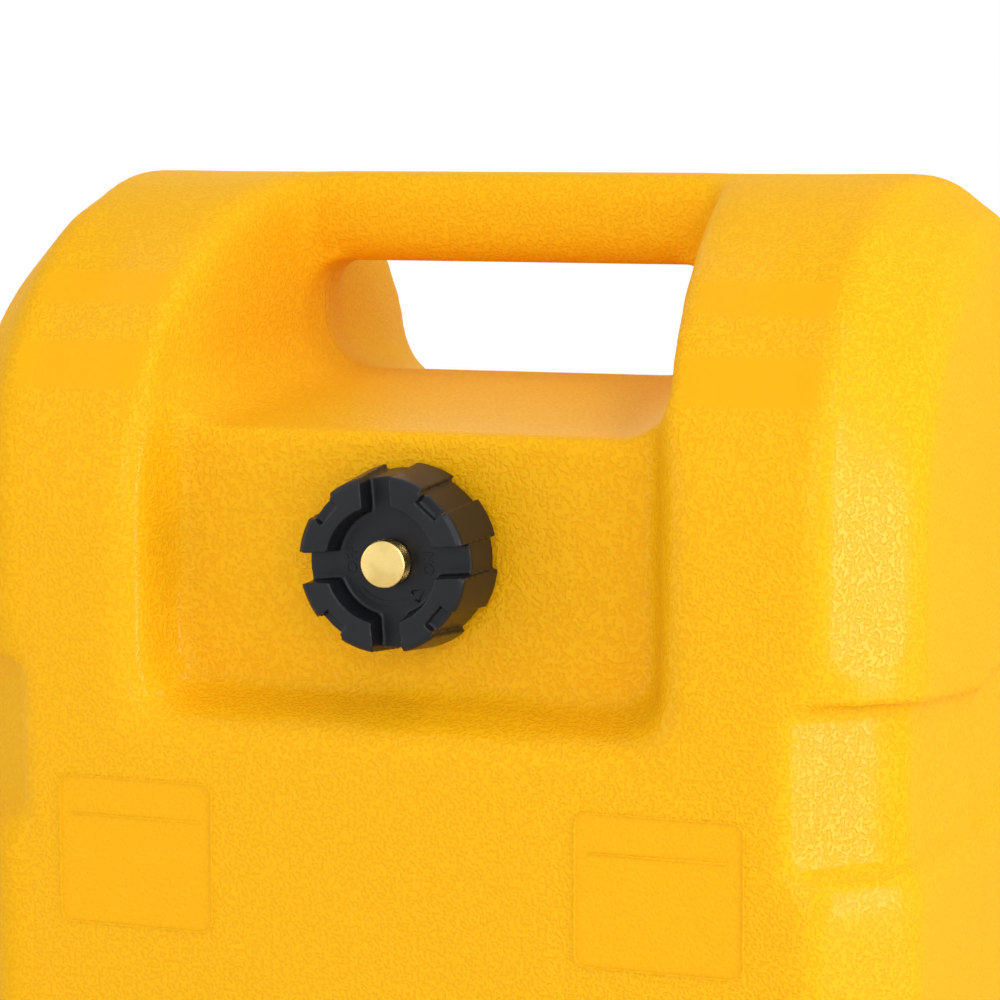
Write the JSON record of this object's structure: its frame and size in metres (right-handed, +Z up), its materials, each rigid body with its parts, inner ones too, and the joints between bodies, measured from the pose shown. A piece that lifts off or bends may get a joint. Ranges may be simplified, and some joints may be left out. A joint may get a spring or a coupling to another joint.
{
  "type": "fuel caddy",
  "caption": "Tall moulded fuel tank with a handle hole at the top, a vented screw cap in a front recess, a low shut-off outlet and a pair of rear wheels.",
  "frame": {"origin": "on the ground below the middle of the object, on the tank's mould parting plane", "axes": "+X to the right seen from the front, +Y from front to back, +Z up"},
  "size_m": [0.387, 0.316, 0.71],
  "materials": {
    "tank": "fine moulded grain, satin",
    "black_plastic": "satin",
    "rubber": "matt",
    "tyre": "matt",
    "brass": "turned and knurled",
    "steel": "zinc plated",
    "nylon": "satin"
  },
  "bodies": {
    "tank": {"tank_shell": "tank", "filler_neck": "black_plastic", "outlet_insert": "black_plastic", "outlet_o_ring": "rubber", "valve_body": "black_plastic", "ball_seats": "nylon", "stem_o_ring": "rubber", "hose_tail": "black_plastic", "tail_o_ring": "rubber", "axle": "steel", "axle_saddles": "black_plastic", "saddle_screws": "steel", "axle_spacers": "black_plastic", "axle_washers": "steel", "axle_caps": "steel"},
    "cap_seal": {"cap_gasket": "rubber"},
    "cap": {"filler_cap": "black_plastic", "vent_insert": "brass"},
    "vent_seal": {"vent_o_ring": "rubber"},
    "vent": {"vent_screw": "brass"},
    "wheel_left": {"wheel_hub_left": "black_plastic", "wheel_bushes_left": "nylon", "tyre_left": "tyre"},
    "wheel_right": {"wheel_hub_right": "black_plastic", "wheel_bushes_right": "nylon", "tyre_right": "tyre"},
    "valve_core": {"valve_ball": "steel", "valve_stem": "steel", "valve_lever": "black_plastic", "lever_screw": "steel"}
  },
  "joints": [
    {"name": "cap_rise", "type": "slide", "parent": "tank", "child": "cap_seal", "axis": [0, -1, 0], "range_m": [0, 0.0181]},
    {"name": "cap_turn", "type": "hinge", "parent": "cap_seal", "child": "cap", "pos_m": [0, -0.14, 0.569], "axis": [0, -1, 0], "range_deg": [0, 1080]},
    {"name": "vent_rise", "type": "slide", "parent": "cap", "child": "vent_seal", "axis": [0, -1, 0], "range_m": [0, 0.002]},
    {"name": "vent_turn", "type": "hinge", "parent": "vent_seal", "child": "vent", "pos_m": [0, -0.15, 0.569], "axis": [0, -1, 0], "range_deg": [0, 722]},
    {"name": "wheel_left_spin", "type": "hinge", "parent": "tank", "child": "wheel_left", "pos_m": [-0.1653, 0.068, 0.09], "axis": [1, 0, 0], "continuous": true},
    {"name": "wheel_right_spin", "type": "hinge", "parent": "tank", "child": "wheel_right", "pos_m": [0.1653, 0.068, 0.09], "axis": [1, 0, 0], "continuous": true},
    {"name": "valve_turn", "type": "hinge", "parent": "tank", "child": "valve_core", "pos_m": [0, -0.0994, 0.088], "axis": [0, 0, 1], "range_deg": [0, 90]}
  ],
  "couplings": [
    {"joint": "cap_rise", "follows": "cap_turn", "m_per_rad": 0.00095493},
    {"joint": "vent_turn", "follows": "vent_rise", "rad_per_m": 6283.2}
  ]
}
